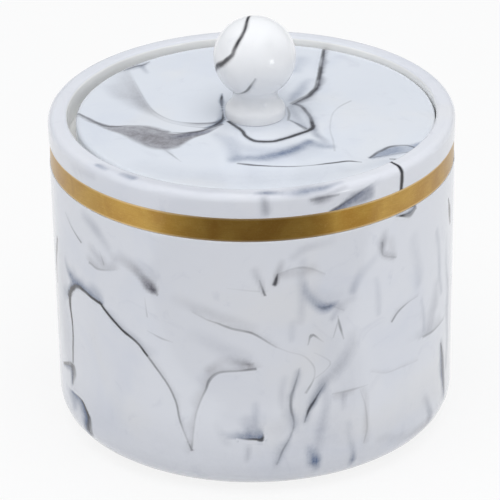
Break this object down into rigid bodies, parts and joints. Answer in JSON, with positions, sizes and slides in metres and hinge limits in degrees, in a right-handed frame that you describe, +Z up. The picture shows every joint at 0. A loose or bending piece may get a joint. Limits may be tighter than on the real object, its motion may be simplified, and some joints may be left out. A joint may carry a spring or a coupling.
{
  "type": "lidded swab jar",
  "caption": "Round countertop jar for cotton swabs: rounded-base cup with a metal strip under the rim and a loose disc lid that drops into the mouth and lifts by a ball knob.",
  "frame": {"origin": "on the surface that the jar stands on, on the axis of the jar", "axes": "+Z up along the jar's axis; -Y towards the side that the picture shows; +X to that side's right"},
  "size_m": [0.1, 0.1, 0.1051],
  "materials": {
    "marbled_resin": "polished, white with dark veins",
    "gilt_metal": "satin gilt, lacquered",
    "insert_brass": "turned",
    "screw_steel": "zinc plated",
    "pad_rubber": "matt, translucent grey"
  },
  "bodies": {
    "jar_body": {"jar": "marbled_resin", "gold_band": "gilt_metal", "foot_pad_1": "pad_rubber", "foot_pad_2": "pad_rubber", "foot_pad_3": "pad_rubber", "foot_pad_4": "pad_rubber"},
    "lid_body": {"lid": "marbled_resin", "knob": "marbled_resin", "knob_insert": "insert_brass", "knob_screw": "screw_steel", "screw_washer": "screw_steel"}
  },
  "joints": [
    {"name": "lid_lift", "type": "slide", "parent": "jar_body", "child": "lid_body", "axis": [0, 0, 1], "range_m": [0, 0.12]}
  ]
}
